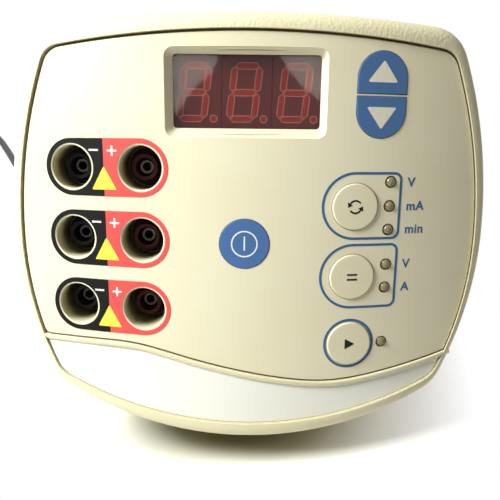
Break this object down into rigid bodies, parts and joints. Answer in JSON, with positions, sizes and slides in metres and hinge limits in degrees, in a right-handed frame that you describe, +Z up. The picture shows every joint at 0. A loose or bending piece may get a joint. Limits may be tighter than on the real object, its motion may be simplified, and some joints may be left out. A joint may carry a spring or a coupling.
{
  "type": "electrophoresis power supply",
  "caption": "Bench-top electrophoresis power supply with a leaning crowned face, deep display, flat keys and recessed output sockets.",
  "frame": {"origin": "centre of the unit's footprint, on the bench under its feet", "axes": "+Z up, front towards -Y, +X to the right seen from the front"},
  "size_m": [0.5132, 0.5135, 0.1938],
  "materials": {
    "cream_plastic": "fine leather-like moulded grain",
    "panel_plastic": "smooth satin",
    "white_trim": "smooth satin",
    "tinted_window": "clear, maroon tinted",
    "lit_segment": "diffuse red",
    "lamp_lens": "diffuse lens",
    "dark_plastic": "satin",
    "red_plastic": "satin",
    "blue_key": "satin",
    "slate_key": "satin",
    "cream_key": "satin",
    "black_label": "printed foil",
    "red_label": "printed foil",
    "nickel": "nickel plated",
    "zinc_steel": "zinc plated",
    "rubber": "matte",
    "fuse_glass": "clear tube",
    "plate": "bare satin foil",
    "circuit_board": "green solder resist",
    "core_steel": "varnished laminations",
    "copper_winding": "yellow film over copper",
    "aluminium": "extruded",
    "capacitor_sleeve": "shrink sleeve",
    "relay_case": "moulded",
    "ribbon": "grey flat cable",
    "lead_sheath": "flexible black sheath",
    "tie": "band"
  },
  "bodies": {
    "case": {"front_frame": "cream_plastic", "rear_housing": "cream_plastic", "control_panel": "panel_plastic", "lower_trim": "white_trim", "display_window": "tinted_window", "digit_modules": "dark_plastic", "digit_segments": "lit_segment", "display_board": "circuit_board", "indicator_lamps": "lamp_lens", "key_switches": "dark_plastic", "socket_wells": "panel_plastic", "negative_socket_bodies": "dark_plastic", "positive_socket_bodies": "red_plastic", "socket_contacts": "nickel", "socket_nuts": "nickel", "negative_labels": "black_label", "positive_labels": "red_label", "housing_screws": "zinc_steel", "rubber_feet": "rubber", "inlet_housing": "dark_plastic", "inlet_pins": "nickel", "inlet_screws": "zinc_steel", "rating_plate": "plate", "main_board": "circuit_board", "board_standoffs": "nickel", "board_screws": "zinc_steel", "transformer_core": "core_steel", "transformer_winding": "copper_winding", "transformer_strap": "zinc_steel", "heat_sink": "aluminium", "power_transistors": "dark_plastic", "bridge_rectifier": "dark_plastic", "filter_capacitors": "capacitor_sleeve", "output_relays": "relay_case", "output_leads": "lead_sheath", "ribbon_cable": "ribbon", "mains_leads": "lead_sheath", "lead_connector": "lead_sheath", "lead_strain_relief": "lead_sheath", "mains_lead_start": "lead_sheath", "mains_lead_coil": "lead_sheath", "mains_lead_end": "lead_sheath", "lead_tie": "tie", "mains_plug": "lead_sheath", "plug_blades": "nickel"},
    "power_key_body": {"power_key": "blue_key", "power_key_plunger": "dark_plastic"},
    "up_key_body": {"up_key": "slate_key", "up_key_plunger": "dark_plastic"},
    "down_key_body": {"down_key": "slate_key", "down_key_plunger": "dark_plastic"},
    "set_key_body": {"set_key": "cream_key", "set_key_plunger": "dark_plastic"},
    "constant_key_body": {"constant_key": "cream_key", "constant_key_plunger": "dark_plastic"},
    "run_key_body": {"run_key": "cream_key", "run_key_plunger": "dark_plastic"},
    "fuse_carrier": {"fuse_drawer": "dark_plastic", "fuse": "fuse_glass"}
  },
  "joints": [
    {"name": "press_power_key", "type": "slide", "parent": "case", "child": "power_key_body", "axis": [0, 0.9397, -0.342], "range_m": [0, 0.0008], "stiffness_N_per_m": 1500},
    {"name": "press_up_key", "type": "slide", "parent": "case", "child": "up_key_body", "axis": [0, 0.9397, -0.342], "range_m": [0, 0.0008], "stiffness_N_per_m": 1500},
    {"name": "press_down_key", "type": "slide", "parent": "case", "child": "down_key_body", "axis": [0, 0.9397, -0.342], "range_m": [0, 0.0008], "stiffness_N_per_m": 1500},
    {"name": "press_set_key", "type": "slide", "parent": "case", "child": "set_key_body", "axis": [0, 0.9397, -0.342], "range_m": [0, 0.0008], "stiffness_N_per_m": 1500},
    {"name": "press_constant_key", "type": "slide", "parent": "case", "child": "constant_key_body", "axis": [0, 0.9397, -0.342], "range_m": [0, 0.0008], "stiffness_N_per_m": 1500},
    {"name": "press_run_key", "type": "slide", "parent": "case", "child": "run_key_body", "axis": [0, 0.9397, -0.342], "range_m": [0, 0.0008], "stiffness_N_per_m": 1500},
    {"name": "fuse_drawer_slide", "type": "slide", "parent": "case", "child": "fuse_carrier", "axis": [0, 1, 0], "range_m": [0, 0.018]}
  ]
}
